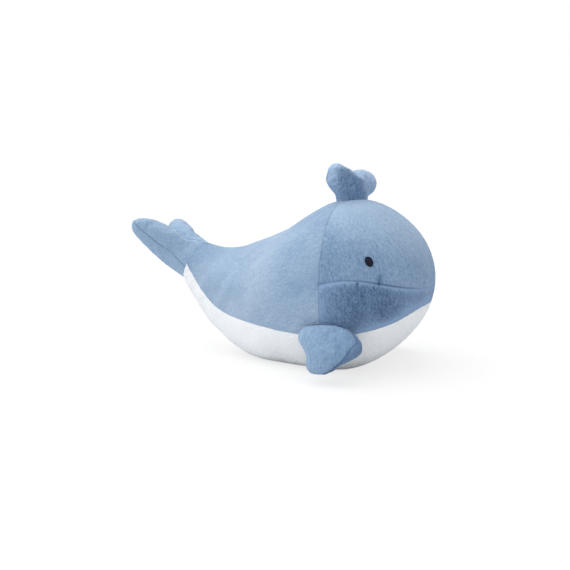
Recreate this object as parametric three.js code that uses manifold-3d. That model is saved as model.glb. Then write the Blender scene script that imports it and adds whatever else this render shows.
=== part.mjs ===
// Stuffed whale that rocks on its round belly. A plush cover of five sewn panels goes over
// a stuffing core with a pellet pouch in its belly. Fins, flukes and spout are sewn on.
// Millimetres. +X to the nose, +Y to the whale's left, +Z up. The origin is in the middle
// of the flat that the belly presses on the floor.

import * as THREE from "three";
import { mergeVertices } from "three/addons/utils/BufferGeometryUtils.js";
import Module from "manifold-3d";

const wasm = await Module();
wasm.setup();

// Cover and clearances
const PLUSH = 2.4; // plush with its backing
const SEAM_GAP = 0.3; // between two panels sewn edge to edge
const FILL_GAP = 0.3; // between a panel and the stuffing behind it
const SEAT_GAP = 0.3; // between a sewn-on piece and the cover that carries it

// Body, from the tail seam to the head seam and on to the nose
const HEAD_SEAM_X = 35;
const HEAD_HEIGHT = 155;
const HEAD_WIDTH = 145;
const HEAD_LENGTH = 77;
const NOSE_HEIGHT = 74;
const BELLY_PRESS = 2; // how far the weight presses the round belly flat
const FOREHEAD_POWER = 1.92; // 2 is an ellipse, more is fuller, less is slighter
const CHIN_POWER = 1.55;
const CHEEK_POWER = 2.2;
const GIRTH_POWER = 2.45;
// Ribs behind the head seam: back x, back z, belly x, belly z, half width and girth power
const BODY_RIBS = [
  [-125, 110, -148, 70, 19, GIRTH_POWER],
  [-105, 105, -128, 41.5, 27, 2.25],
  [-75, 108, -100, 18, 39.7, 2.2],
  [-40, 120.6, -60, 0.4, 55.8, 2.25],
  [0, 141.6, -12, -1.8, 69.8, 2.4],
];

// Seams of the cover, seen from the side: x, z
const BELLY_SEAM = [
  [-160, 121],
  [-138, 90],
  [-109, 60],
  [-78, 46],
  [-18, 40],
  [40, 38.5],
  [86, 48.5],
  [110, 64],
  [130, 78],
];
const MOUTH_SEAM = [
  [15, 76],
  [37, 84.5],
  [60, 89],
  [83, 86],
  [112, 78.5],
  [130, 72],
];

// Embroidered eyes
const EYE_X = 75;
const EYE_Z = 104.6;
const EYE_TALL = 9.5;
const EYE_WIDE = 7.5;
const EYE_RISE = 1.3; // how far the stitches stand over the plush

// Pellet pouch on the inside of the belly
const POUCH_CLOTH = 0.8;
const POUCH_RADIUS = 36;
const POUCH_HEIGHT = 22;
const POUCH_FLAT = 12; // radius of the part that lies flat on the belly panel
const POUCH_RIM = 10; // height of the pouch's own edge seam over its flat

// Fins: along, centre, half width, half thickness, from the sewn root to the tip
const FIN_X = 44;
const FIN_Z = 45; // height of the sewn root on the body's side
const FIN_ROOT_RADIUS = 8.5;
const FIN_HANG = 7; // degrees that the fin stands out from straight down
const FIN_RIBS = [
  [FIN_ROOT_RADIUS, 0, 26.5, FIN_ROOT_RADIUS],
  [15, 2.2, 28.4, 10],
  [22, 4, 25.5, 11],
  [29, 0.6, 18.8, 10],
  [36, -4.8, 13.8, 8],
  [43.4, -8.7, 0, 0],
];

const ROOT_CORNER = 0.6; // share of a limb's root width that is left at its sewn line

// Flukes: along, centre, half width, half thickness, from the tail seam to the tip
const FLUKE_ROOT_RADIUS = 19;
const RIGHT_FLUKE_RISE = 43; // degrees that the flukes rise toward their tips
const LEFT_FLUKE_RISE = 38;
const FLUKE_RIBS = [
  [FLUKE_ROOT_RADIUS, 11, 10.5, FLUKE_ROOT_RADIUS],
  [34, 17, 14.5, 17.5],
  [49, 24, 15, 13.5],
  [60, 31, 11.5, 9],
  [67, 36, 0, 0],
];

// Spout: a short stalk in ribs like a limb's, and two egg-shaped lobes on it
const SPOUT_TURN = 13; // degrees that the spout is turned on the head, right lobe to the tail
const SPOUT_ROOT_RADIUS = 13;
const STALK_RIBS = [
  [SPOUT_ROOT_RADIUS, 0, 16, SPOUT_ROOT_RADIUS],
  [19, 0, 15, 12],
  [25, 0, 0, 0],
];
// Lobes: middle and long way, each as out, up and ahead, and half length, height and thickness
const RIGHT_LOBE = { middle: [-14.5, 17, 0.5], way: [-0.85, 0.49, -0.19], half: [19.3, 11.8, 12.2] };
const LEFT_LOBE = { middle: [17.2, 15, 0], way: [0.955, 0.2, -0.17], half: [19.2, 10.8, 11.4] };

// Fineness of the shapes
const BODY_SIDES = 24;
const LIMB_SIDES = 12;
const RIB_STEPS = 2; // rings between two ribs of the body
const HEAD_STEPS = 8;
const KNUCKLE_STEPS = 3;
const LOBE_SIDES = 14;
const FAR = 400; // half size of the blocks that cut the cover

const radians = THREE.MathUtils.degToRad;
const vec = (x, y, z) => new THREE.Vector3(x, y, z);

// A value row on a smooth line through rows. The first and last rows only set the end slopes.
function along(rows, t) {
  const first = Math.min(Math.max(Math.floor(t), 0), rows.length - 4);
  const f = t - first;
  const [a, b, c, d] = rows.slice(first, first + 4);
  return a.map((_, i) => {
    const linear = (c[i] - a[i]) * f;
    const square = (2 * a[i] - 5 * b[i] + 4 * c[i] - d[i]) * f * f;
    const cube = (3 * b[i] - a[i] - 3 * c[i] + d[i]) * f * f * f;
    return (2 * b[i] + linear + square + cube) / 2;
  });
}

// Solids
function solidOf(geometry) {
  const plain = new THREE.BufferGeometry();
  plain.setAttribute("position", geometry.getAttribute("position").clone());
  if (geometry.index) plain.setIndex(geometry.index.clone());
  const merged = mergeVertices(plain, 1e-4);
  const faces = [];
  const index = merged.index.array;
  for (let i = 0; i < index.length; i += 3) {
    const [a, b, c] = index.slice(i, i + 3);
    if (a !== b && b !== c && c !== a) faces.push(a, b, c);
  }
  const vertProperties = new Float32Array(merged.getAttribute("position").array);
  const triVerts = new Uint32Array(faces);
  const solid = new wasm.Manifold(new wasm.Mesh({ numProp: 3, vertProperties, triVerts }));
  if (solid.volume() > 0) return solid;
  triVerts.reverse();
  return new wasm.Manifold(new wasm.Mesh({ numProp: 3, vertProperties, triVerts }));
}

// Skin over rings of points. An end ring that isn't closed to a point or an edge gets a flat cap.
function skin(rings, capFirst = false) {
  const points = rings.flat();
  const sides = rings[0].length;
  const faces = [];
  for (let r = 0; r + 1 < rings.length; r++) {
    for (let s = 0; s < sides; s++) {
      const a = r * sides + s;
      const b = r * sides + ((s + 1) % sides);
      faces.push(a, b, b + sides);
      faces.push(a, b + sides, a + sides);
    }
  }
  if (capFirst) {
    const middle = rings[0].reduce((sum, p) => sum.add(p), vec(0, 0, 0)).divideScalar(sides);
    points.push(middle);
    for (let s = 0; s < sides; s++) faces.push(points.length - 1, (s + 1) % sides, s);
  }
  const geometry = new THREE.BufferGeometry().setFromPoints(points);
  geometry.setIndex(faces);
  return geometry;
}

function shifted(geometry, distance) {
  const merged = mergeVertices(geometry.clone(), 1e-4);
  merged.computeVertexNormals();
  const place = merged.getAttribute("position");
  const normal = merged.getAttribute("normal");
  for (let i = 0; i < place.count; i++) {
    const p = vec().fromBufferAttribute(place, i);
    p.addScaledVector(vec().fromBufferAttribute(normal, i), distance);
    place.setXYZ(i, p.x, p.y, p.z);
  }
  return merged;
}

function block(x0, x1, y0, y1, z0, z1) {
  const box = new THREE.BoxGeometry(x1 - x0, y1 - y0, z1 - z0);
  box.translate((x0 + x1) / 2, (y0 + y1) / 2, (z0 + z1) / 2);
  return box;
}

// The space above or below a seam line, across the whole body
function besideLine(line, shift, above) {
  const rows = [line[0], ...line, line[line.length - 1]];
  const spans = line.length - 1;
  const shape = new THREE.Shape();
  const edge = above ? FAR : -FAR;
  shape.moveTo(-FAR, edge);
  shape.lineTo(-FAR, line[0][1] + shift);
  for (let k = 0; k <= spans * 2; k++) {
    const [x, z] = along(rows, k / 2);
    shape.lineTo(x, z + shift);
  }
  shape.lineTo(FAR, line[spans][1] + shift);
  shape.lineTo(FAR, edge);
  const prism = new THREE.ExtrudeGeometry(shape, { depth: 2 * FAR, bevelEnabled: false });
  prism.rotateX(Math.PI / 2);
  prism.translate(0, FAR, 0);
  return solidOf(prism);
}

// Body form
const headSeamRib = [HEAD_SEAM_X, HEAD_HEIGHT, HEAD_SEAM_X, -BELLY_PRESS, HEAD_WIDTH / 2, GIRTH_POWER];
const lastRib = BODY_RIBS[BODY_RIBS.length - 1];
const beforeTail = BODY_RIBS[0].map((v, i) => 2 * v - BODY_RIBS[1][i]);
const [lastTopX, lastTopZ, lastLowX, lastLowZ, lastHalf, lastGirth] = lastRib;
const pastTopX = 2 * HEAD_SEAM_X - lastTopX;
const pastLowX = 2 * HEAD_SEAM_X - lastLowX;
const pastHeadSeam = [pastTopX, lastTopZ, pastLowX, lastLowZ, lastHalf, lastGirth];
const bodyRows = [beforeTail, ...BODY_RIBS, headSeamRib, pastHeadSeam];
const BACK_SPANS = BODY_RIBS.length;
const TAIL_SPARE = 0.2; // the loft runs past the tail seam and is cut off there

const swell = (share, power) => Math.pow(Math.max(1 - Math.pow(share, power), 0), 1 / power);
const powered = (value, power) => Math.sign(value) * Math.pow(Math.abs(value), 2 / power);

function headRib(turn) {
  const share = Math.sin(turn);
  const x = HEAD_SEAM_X + HEAD_LENGTH * share;
  const top = NOSE_HEIGHT + (HEAD_HEIGHT - NOSE_HEIGHT) * swell(share, FOREHEAD_POWER);
  const bottom = NOSE_HEIGHT - (NOSE_HEIGHT + BELLY_PRESS) * swell(share, CHIN_POWER);
  return [x, top, x, bottom, (HEAD_WIDTH / 2) * swell(share, CHEEK_POWER), GIRTH_POWER];
}

function bodyPoint([topX, topZ, bottomX, bottomZ, half, girth], turn) {
  const up = powered(Math.sin(turn), girth);
  const out = powered(Math.cos(turn), girth);
  const x = (topX + bottomX) / 2 + ((topX - bottomX) / 2) * up;
  const z = (topZ + bottomZ) / 2 + ((topZ - bottomZ) / 2) * up;
  return vec(x, half * out, z);
}

const bodyRibs = [];
for (let k = 0; k <= BACK_SPANS * RIB_STEPS; k++) {
  bodyRibs.push(along(bodyRows, k === 0 ? -TAIL_SPARE : k / RIB_STEPS));
}
for (let k = 1; k <= HEAD_STEPS; k++) {
  bodyRibs.push(headRib(((Math.PI / 2) * k) / HEAD_STEPS));
}
const bodyRings = bodyRibs.map((rib) => {
  const ring = [];
  for (let s = 0; s < BODY_SIDES; s++) {
    ring.push(bodyPoint(rib, (2 * Math.PI * s) / BODY_SIDES));
  }
  return ring;
});
const bodyForm = skin(bodyRings, true);

// The tail seam's plane
const [tailTopX, tailTopZ, tailLowX, tailLowZ] = BODY_RIBS[0];
const tailMiddle = vec((tailTopX + tailLowX) / 2, 0, (tailTopZ + tailLowZ) / 2);
const tailOut = vec(-(tailTopZ - tailLowZ), 0, tailTopX - tailLowX).normalize();
const behindTail = new THREE.BoxGeometry(FAR, FAR, FAR);
behindTail.rotateY(Math.atan2(tailOut.z, -tailOut.x));
behindTail.translate(...tailMiddle.clone().addScaledVector(tailOut, FAR / 2).toArray());
const behindTailSolid = solidOf(behindTail);

// The body's form drawn in by a depth, flat underneath
function bodySolid(depth) {
  const floor = solidOf(block(-FAR, FAR, -FAR, FAR, -FAR, depth));
  return solidOf(shifted(bodyForm, -depth)).subtract(floor);
}

// Where the cover's side lies at a given x and height, and which way it faces
const caster = new THREE.Raycaster();
const bodyMesh = new THREE.Mesh(bodyForm, new THREE.MeshBasicMaterial({ side: THREE.DoubleSide }));
bodyMesh.updateMatrixWorld(true);

function castOnBody(from, toward) {
  caster.set(from, toward);
  const [hit] = caster.intersectObject(bodyMesh);
  return hit.point;
}

const rightSideAt = (x, z) => castOnBody(vec(x, -FAR, z), vec(0, 1, 0));

function rightFacing(x, z, reach) {
  const ahead = rightSideAt(x + reach, z).sub(rightSideAt(x - reach, z));
  const up = rightSideAt(x, z + reach).sub(rightSideAt(x, z - reach));
  return ahead.cross(up).normalize();
}

// Cover panels
const cover = bodySolid(0).subtract(bodySolid(PLUSH)).subtract(behindTailSolid);
const bellyPanel = cover.intersect(besideLine(BELLY_SEAM, -SEAM_GAP / 2, false));
const upperCover = cover.intersect(besideLine(BELLY_SEAM, SEAM_GAP / 2, true));
const headSpace = solidOf(block(HEAD_SEAM_X + SEAM_GAP / 2, FAR, -FAR, FAR, -FAR, FAR));
const backSpace = solidOf(block(-FAR, HEAD_SEAM_X - SEAM_GAP / 2, -FAR, FAR, -FAR, FAR));
const headCover = upperCover.intersect(headSpace);
const backCover = upperCover.intersect(backSpace);
const jawPanel = headCover.intersect(besideLine(MOUTH_SEAM, -SEAM_GAP / 2, false));
const headCap = headCover.intersect(besideLine(MOUTH_SEAM, SEAM_GAP / 2, true));
const rightSpace = solidOf(block(-FAR, FAR, -FAR, -SEAM_GAP / 2, -FAR, FAR));
const leftSpace = solidOf(block(-FAR, FAR, SEAM_GAP / 2, FAR, -FAR, FAR));
const backRight = backCover.intersect(rightSpace);
const backLeft = backCover.intersect(leftSpace);

// Pellet pouch: a round flat bag of two cloth discs, resting on the belly panel's inside
const POUCH_SIDES = 16;
const pouchFloor = PLUSH + FILL_GAP;

function pouchForm(inset) {
  const low = pouchFloor + inset;
  const rim = pouchFloor + POUCH_RIM;
  const high = pouchFloor + POUCH_HEIGHT - inset;
  const radius = POUCH_RADIUS - inset;
  const outline = [new THREE.Vector2(0, low), new THREE.Vector2(POUCH_FLAT, low)];
  for (let k = 1; k <= 4; k++) {
    const turn = ((Math.PI / 2) * k) / 4;
    const r = POUCH_FLAT + (radius - POUCH_FLAT) * Math.sin(turn);
    outline.push(new THREE.Vector2(r, rim - (rim - low) * Math.cos(turn)));
  }
  for (let k = 1; k <= 5; k++) {
    const turn = ((Math.PI / 2) * k) / 5;
    outline.push(new THREE.Vector2(radius * Math.cos(turn), rim + (high - rim) * Math.sin(turn)));
  }
  return solidOf(new THREE.LatheGeometry(outline, POUCH_SIDES).rotateX(Math.PI / 2));
}

const pouchWall = pouchForm(0).subtract(pouchForm(POUCH_CLOTH));
const pouchRimZ = pouchFloor + POUCH_RIM;
const overRim = solidOf(block(-FAR, FAR, -FAR, FAR, pouchRimZ + SEAM_GAP / 2, FAR));
const underRim = solidOf(block(-FAR, FAR, -FAR, FAR, -FAR, pouchRimZ - SEAM_GAP / 2));
const pouchUpper = pouchWall.intersect(overRim);
const pouchLower = pouchWall.intersect(underRim);
const pellets = pouchForm(POUCH_CLOTH + FILL_GAP);
const bodyCore = bodySolid(PLUSH + FILL_GAP).subtract(behindTailSolid);
const bodyStuffing = bodyCore.subtract(pouchForm(-FILL_GAP));

// Stuffed limbs: a rounded root that rolls about its sewn line, then ribs to a closed tip
function limbSections(ribs, rootRadius) {
  const [root] = ribs;
  const tip = ribs[ribs.length - 1];
  const nearTip = ribs[ribs.length - 2];
  const pastTip = [nearTip[0], 2 * tip[1] - nearTip[1], -nearTip[2], -nearTip[3]];
  const beforeRoot = [2 * root[0] - ribs[1][0], root[1], root[2], root[3]];
  const rows = [beforeRoot, ...ribs, pastTip];
  const sections = [];
  for (let k = 0; k < KNUCKLE_STEPS; k++) {
    const turn = ((Math.PI / 2) * k) / KNUCKLE_STEPS;
    const half = root[2] * THREE.MathUtils.lerp(ROOT_CORNER, 1, Math.sin(turn));
    sections.push([rootRadius * (1 - Math.cos(turn)), root[1], half, rootRadius * Math.sin(turn)]);
  }
  const spans = ribs.length - 1;
  for (let k = 0; k <= spans * 2; k++) sections.push(along(rows, k / 2));
  return sections;
}

// How far to the side the middle of a limb lies at a given reach
function middleAt(sections, reach) {
  const next = Math.max(sections.findIndex((section) => section[0] >= reach), 1);
  const [low, high] = [sections[next - 1], sections[next]];
  const share = (reach - low[0]) / (high[0] - low[0]);
  return THREE.MathUtils.lerp(low[1], high[1], share);
}

// The limb's form in its own frame, with every section and both ends drawn in by a wall
function limbForm(ribs, rootRadius, wall) {
  const sections = limbSections(ribs, rootRadius);
  const length = sections[sections.length - 1][0];
  const rings = sections.map(([reach, , half, thick]) => {
    const drawnReach = wall + (reach * (length - 2 * wall)) / length;
    const middle = middleAt(sections, drawnReach);
    const drawnHalf = Math.max(half - wall, 0);
    const drawnThick = Math.max(thick - wall, 0);
    const ring = [];
    for (let s = 0; s < LIMB_SIDES; s++) {
      const turn = (2 * Math.PI * s) / LIMB_SIDES;
      const across = middle + drawnHalf * Math.cos(turn);
      ring.push(vec(across, drawnReach - rootRadius, drawnThick * Math.sin(turn)));
    }
    return ring;
  });
  return skin(rings);
}

function placed(geometry, across, out, origin) {
  const frame = new THREE.Matrix4().makeBasis(across, out, across.clone().cross(out));
  frame.setPosition(origin);
  return geometry.applyMatrix4(frame);
}

// A limb as two plush panels over its stuffing, split on the plane of its edge seam
function sewnLimb(solidAt, across, out, origin) {
  const shell = solidAt(0).subtract(solidAt(PLUSH));
  const half = (low, high) => {
    const slab = block(-FAR, FAR, -FAR, FAR, low, high);
    return solidOf(placed(slab, across, out, origin));
  };
  return {
    front: shell.intersect(half(SEAM_GAP / 2, FAR)),
    back: shell.intersect(half(-FAR, -SEAM_GAP / 2)),
    stuffing: solidAt(PLUSH + FILL_GAP),
  };
}

// Fins, hung along the belly seam
const finSeat = rightSideAt(FIN_X, FIN_Z);
const finFacing = rightFacing(FIN_X, FIN_Z, 4);
const finAcross = vec(-finFacing.y, finFacing.x, 0).normalize();
const finAxis = finSeat.clone().addScaledVector(finFacing, FIN_ROOT_RADIUS + SEAT_GAP);
const finHang = vec(0, -Math.sin(radians(FIN_HANG)), -Math.cos(radians(FIN_HANG)));
const finOut = finHang.addScaledVector(finAcross, -finHang.dot(finAcross)).normalize();
const finForm = (wall) => limbForm(FIN_RIBS, FIN_ROOT_RADIUS, wall);
const finSolid = (wall) => solidOf(placed(finForm(wall), finAcross, finOut, finAxis));
const fin = sewnLimb(finSolid, finAcross, finOut, finAxis);

// Flukes, behind the tail seam
const flukeAcross = vec(0, -1, 0);
const flukeAxis = tailMiddle.clone().addScaledVector(tailOut, FLUKE_ROOT_RADIUS + SEAT_GAP);
const flukeForm = (wall) => limbForm(FLUKE_RIBS, FLUKE_ROOT_RADIUS, wall);

function sewnFluke(rise) {
  const out = vec(-Math.cos(radians(rise)), 0, Math.sin(radians(rise)));
  const solidAt = (wall) => solidOf(placed(flukeForm(wall), flukeAcross, out, flukeAxis));
  return sewnLimb(solidAt, flukeAcross, out, flukeAxis);
}

// Spout, on the highest point of the head seam
const spoutAcross = vec(Math.sin(radians(SPOUT_TURN)), Math.cos(radians(SPOUT_TURN)), 0);
const spoutUp = vec(0, 0, 1);
const spoutFoot = vec(HEAD_SEAM_X, 0, HEAD_HEIGHT + SEAT_GAP);
const spoutAxis = spoutFoot.clone().addScaledVector(spoutUp, SPOUT_ROOT_RADIUS);
const stalkForm = (wall) => limbForm(STALK_RIBS, SPOUT_ROOT_RADIUS, wall);

function lobeForm({ middle, way, half }, wall) {
  const egg = new THREE.SphereGeometry(1, LOBE_SIDES, LOBE_SIDES / 2);
  egg.scale(...half.map((size) => size - wall));
  const long = vec(...way).normalize();
  const thick = long.clone().cross(vec(0, 1, 0)).normalize();
  placed(egg, long, thick.clone().cross(long), vec(...middle));
  return placed(egg, spoutAcross, spoutUp, spoutFoot);
}

function spoutSolid(wall) {
  const stalk = solidOf(placed(stalkForm(wall), spoutAcross, spoutUp, spoutAxis));
  const right = solidOf(lobeForm(RIGHT_LOBE, wall));
  const left = solidOf(lobeForm(LEFT_LOBE, wall));
  return stalk.add(right).add(left);
}

const spout = sewnLimb(spoutSolid, spoutAcross, spoutUp, spoutAxis);

// Eyes, stitched on the head cap
const eyeSeat = rightSideAt(EYE_X, EYE_Z);
const eyeFacing = rightFacing(EYE_X, EYE_Z, 3);
const eyeAcross = vec(-eyeFacing.y, eyeFacing.x, 0).normalize();
const eyeForm = new THREE.SphereGeometry(1, 14, 8);
eyeForm.scale(EYE_WIDE / 2, EYE_TALL / 2, EYE_RISE + SEAT_GAP);
const eyeOval = solidOf(placed(eyeForm, eyeAcross, eyeFacing.clone().cross(eyeAcross), eyeSeat));
const eye = eyeOval.subtract(solidOf(shifted(bodyForm, SEAT_GAP)));

// Named pieces
const BLUE_PLUSH = 0x9fbbd8;
const WHITE_PLUSH = 0xe9edf1;
const STUFFING = 0xf4f2ea;
const THREAD = 0x2b3040;
const COTTON = 0xd9d2c0;
const PELLETS = 0xc9cdd2;
const whale = new THREE.Group();
whale.name = "rocking_whale";

function piece(name, solid, color, roughness, leftHand = false) {
  const { vertProperties, triVerts } = solid.getMesh();
  const places = new Float32Array(vertProperties);
  const faces = Array.from(triVerts);
  if (leftHand) {
    for (let i = 1; i < places.length; i += 3) places[i] = -places[i];
    faces.reverse();
  }
  const geometry = new THREE.BufferGeometry();
  geometry.setAttribute("position", new THREE.BufferAttribute(places, 3));
  geometry.setIndex(faces);
  geometry.computeVertexNormals();
  const material = new THREE.MeshStandardMaterial({ color, roughness, metalness: 0 });
  const mesh = new THREE.Mesh(geometry, material);
  mesh.name = name;
  whale.add(mesh);
}

piece("belly_panel", bellyPanel, WHITE_PLUSH, 0.95);
piece("back_panel_right", backRight, BLUE_PLUSH, 0.95);
piece("back_panel_left", backLeft, BLUE_PLUSH, 0.95);
piece("head_cap_panel", headCap, BLUE_PLUSH, 0.95);
piece("jaw_panel", jawPanel, BLUE_PLUSH, 0.95);
piece("body_stuffing", bodyStuffing, STUFFING, 0.9);
piece("ballast_pouch_upper", pouchUpper, COTTON, 0.9);
piece("ballast_pouch_lower", pouchLower, COTTON, 0.9);
piece("ballast_pellets", pellets, PELLETS, 0.6);
piece("right_eye", eye, THREAD, 0.7);
piece("left_eye", eye, THREAD, 0.7, true);
for (const [side, leftHand, rise] of [
  ["right", false, RIGHT_FLUKE_RISE],
  ["left", true, LEFT_FLUKE_RISE],
]) {
  const fluke = sewnFluke(rise);
  piece(`${side}_fin_outer_panel`, fin.back, BLUE_PLUSH, 0.95, leftHand);
  piece(`${side}_fin_inner_panel`, fin.front, BLUE_PLUSH, 0.95, leftHand);
  piece(`${side}_fin_stuffing`, fin.stuffing, STUFFING, 0.9, leftHand);
  piece(`${side}_fluke_upper_panel`, fluke.back, BLUE_PLUSH, 0.95, leftHand);
  piece(`${side}_fluke_lower_panel`, fluke.front, BLUE_PLUSH, 0.95, leftHand);
  piece(`${side}_fluke_stuffing`, fluke.stuffing, STUFFING, 0.9, leftHand);
}
piece("spout_front_panel", spout.front, BLUE_PLUSH, 0.95);
piece("spout_back_panel", spout.back, BLUE_PLUSH, 0.95);
piece("spout_stuffing", spout.stuffing, STUFFING, 0.9);

export default whale;
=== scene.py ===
import math

import bmesh
import bpy
import numpy as np
from mathutils import Matrix, Vector, kdtree, noise
from mathutils.bvhtree import BVHTree


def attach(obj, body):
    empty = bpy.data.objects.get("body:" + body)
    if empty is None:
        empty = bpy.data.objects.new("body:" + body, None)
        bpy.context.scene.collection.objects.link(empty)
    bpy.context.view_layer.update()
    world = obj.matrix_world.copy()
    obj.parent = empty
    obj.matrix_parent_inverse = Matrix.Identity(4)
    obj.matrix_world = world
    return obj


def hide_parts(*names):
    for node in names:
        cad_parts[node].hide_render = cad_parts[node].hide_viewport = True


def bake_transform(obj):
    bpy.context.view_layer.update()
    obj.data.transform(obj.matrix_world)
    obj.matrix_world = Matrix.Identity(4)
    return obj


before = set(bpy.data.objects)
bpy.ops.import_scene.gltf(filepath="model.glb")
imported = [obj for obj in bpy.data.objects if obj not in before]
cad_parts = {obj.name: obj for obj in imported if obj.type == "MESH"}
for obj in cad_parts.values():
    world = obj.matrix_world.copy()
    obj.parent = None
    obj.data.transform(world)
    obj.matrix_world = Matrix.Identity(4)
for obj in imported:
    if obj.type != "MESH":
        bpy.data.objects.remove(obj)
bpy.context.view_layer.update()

scene = bpy.context.scene


# Cover of the body
# Five panels of short-pile plush, cut flat, sewn right sides together, turned out and
# stuffed hard. The seams draw in and the cloth swells between them. The weight of the
# pellets presses the belly flat where it rests. Sizes are in millimetres.
MM = 0.001
# Ribs from the tail seam to the head seam: back x, back z, belly x, belly z, half width
BODY_RIBS = [
    (-125, 110, -148, 70, 19),
    (-105, 106.3, -128, 42, 25),
    (-75, 109.4, -100, 19, 36.5),
    (-40, 121.8, -60, 1, 52.5),
    (0, 141, -12, -1.8, 68),
]
HEAD_SEAM_X = 35
HEAD_HEIGHT = 155
HEAD_WIDTH = 145
HEAD_LENGTH = 77
NOSE_HEIGHT = 74
BELLY_PRESS = 2
FOREHEAD_POWER = 1.92
CHIN_POWER = 1.49
CHEEK_POWER = 2.2
GIRTH_POWER = 2.45
# Seams seen from the side: x, z
BELLY_SEAM = [
    (-160, 121), (-138, 90), (-109, 60), (-78, 46), (-18, 40),
    (40, 38.5), (86, 48.5), (110, 64), (130, 78),
]
MOUTH_SEAM = [(15, 76), (37, 84.5), (60, 89), (83, 86), (112, 78.5), (130, 72)]
# Short darts that meet the mouth seam: x at the seam, z at the seam, x and z at the end
DARTS = [(83.8, 85.5, 84, 93), (67.7, 86.5, 67.5, 82)]
BODY_CELL, SEAM_SNAP = 4.8, 1.2
FINENESS = 3
SEAM_ALLOWANCE = 4
FLOOR_CLEAR = 0.2
BELLY, BACK_RIGHT, BACK_LEFT, HEAD_CAP, JAW = range(5)
BACK_NAP, HEAD_NAP = Vector((-0.85, 0, -0.53)), Vector((0.35, 0, -0.94))
PILE_RISE = 0.5
EYE_DIMPLE, EYE_DIMPLE_REACH = 1.5, 6.5
STUFFING_PRESSURE, CLOTH_SLACK, CLOTH_FRAMES = 4, 0.02, 20
BODY_SWELL = 6
BODY_LUMPS, BODY_FILL_DEPTH = 0.5, 3.4
FILL_LUMP, FILL_UNEVEN = 9, 0.8
# How a seam looks: its depth in millimetres, the darkness of the shade painted in its groove, and
# the weight and reach of a painted band beside it (a highlight on jaw, fluke and spout, a shade on
# the back)
FREE_EDGE = (1.5, 0.35, 1, 6)
JAW_EDGE, BELLY_EDGE = (0.5, 0.08, 1.2, 4), (0.5, 0.08, 0.2, 4)
BACK_MIDDLE = (0.3, 0.03, 0, 1)
HEAD_RING, HEAD_RING_TOP, HEAD_RING_TOP_Z = (0.2, 0.03, 0.6, 20), (0.2, 0.03, 0, 20), 125
# The mouth seam: its depth, the darkness of the shade painted in it, and the painted highlight band
# below it on the jaw
MOUTH_DEPTH, MOUTH_DARK, MOUTH_RIM = 0.8, 0.25, (1, 1.7)
# The mouth is pinched about its front dart, where its painted shade is darker, and puffs out and
# fades on the nose
PINCH_X, PINCH_REACH, PINCH_DEPTH, PINCH_DARK = 86, 15, 0.5, 0.5
MOUTH_END_X, MOUTH_FADE, NOSE_PUFF = 114, 9, 0.6


def between(rows, t):
    """The values on a smooth line through rows, whose first and last rows only set the slopes."""
    first = min(max(math.floor(t), 0), len(rows) - 4)
    f = t - first
    return [
        (2 * b + (c - a) * f + (2 * a - 5 * b + 4 * c - d) * f * f
         + (3 * b - a - 3 * c + d) * f ** 3) / 2
        for a, b, c, d in zip(*rows[first:first + 4])
    ]


def swell(share, power):
    return max(1 - share ** power, 0) ** (1 / power)


def powered(value, power):
    return math.copysign(abs(value) ** (2 / power), value)


seam_rib = (HEAD_SEAM_X, HEAD_HEIGHT, HEAD_SEAM_X, -BELLY_PRESS, HEAD_WIDTH / 2)
before_tail = [2 * a - b for a, b in zip(BODY_RIBS[0], BODY_RIBS[1])]
past_seam = [
    2 * HEAD_SEAM_X - v if k in (0, 2) else v for k, v in enumerate(BODY_RIBS[-1])
]
BODY_ROWS = [before_tail, *BODY_RIBS, seam_rib, past_seam]
BACK_SPANS = len(BODY_RIBS)


def body_rib(run):
    """The rib at a place along the body: 0 at the tail seam, 5 at the head seam, 6 at the nose."""
    if run <= BACK_SPANS:
        return between(BODY_ROWS, run)
    share = math.sin((run - BACK_SPANS) * math.pi / 2)
    x = HEAD_SEAM_X + HEAD_LENGTH * share
    top = NOSE_HEIGHT + (HEAD_HEIGHT - NOSE_HEIGHT) * swell(share, FOREHEAD_POWER)
    low = NOSE_HEIGHT - (NOSE_HEIGHT + BELLY_PRESS) * swell(share, CHIN_POWER)
    return x, top, x, low, HEAD_WIDTH / 2 * swell(share, CHEEK_POWER)


def on_body(run, turn):
    top_x, top_z, low_x, low_z, half = body_rib(run)
    up = powered(math.sin(turn), GIRTH_POWER)
    out = powered(math.cos(turn), GIRTH_POWER)
    x = (top_x + low_x) / 2 + (top_x - low_x) / 2 * up
    z = (top_z + low_z) / 2 + (top_z - low_z) / 2 * up
    return Vector((x, half * out, z)) * MM


def form(place, first, last, along, around):
    """A closed form from a grid whose points are put in place by reach and turn."""
    bm = bmesh.new()
    bmesh.ops.create_grid(bm, x_segments=along, y_segments=around, size=1)
    for v in bm.verts:
        reach = first + (last - first) * (v.co.x + 1) / 2
        v.co = place(reach, math.pi * (v.co.y + 1))
    bmesh.ops.remove_doubles(bm, verts=bm.verts, dist=1e-5)
    bmesh.ops.holes_fill(bm, edges=[e for e in bm.edges if e.is_boundary])
    bmesh.ops.recalc_face_normals(bm, faces=bm.faces)
    return bm


def worked(bm, kind, **settings):
    """The bmesh after one modifier."""
    mesh = bpy.data.meshes.new("work")
    bm.to_mesh(mesh)
    bm.free()
    work = bpy.data.objects.new("work", mesh)
    scene.collection.objects.link(work)
    modifier = work.modifiers.new("work", kind)
    for name, value in settings.items():
        setattr(modifier, name, value)
    bpy.context.view_layer.update()
    done = bmesh.new()
    done.from_object(work, bpy.context.evaluated_depsgraph_get())
    bpy.data.objects.remove(work)
    bpy.data.meshes.remove(mesh)
    return done


def smoothed(bm, verts):
    bmesh.ops.smooth_vert(
        bm, verts=verts, factor=0.5, use_axis_x=True, use_axis_y=True, use_axis_z=True)


def evenly_meshed(bm, cell):
    """The form in even cells, which cloth needs."""
    bm = worked(bm, "REMESH", mode="VOXEL", voxel_size=cell * MM)
    for _ in range(2):
        smoothed(bm, bm.verts)
    return bm


def panels_at(part):
    """The panels that meet at an edge or a point of a cover."""
    return {f.material_index for f in part.link_faces}


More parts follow.
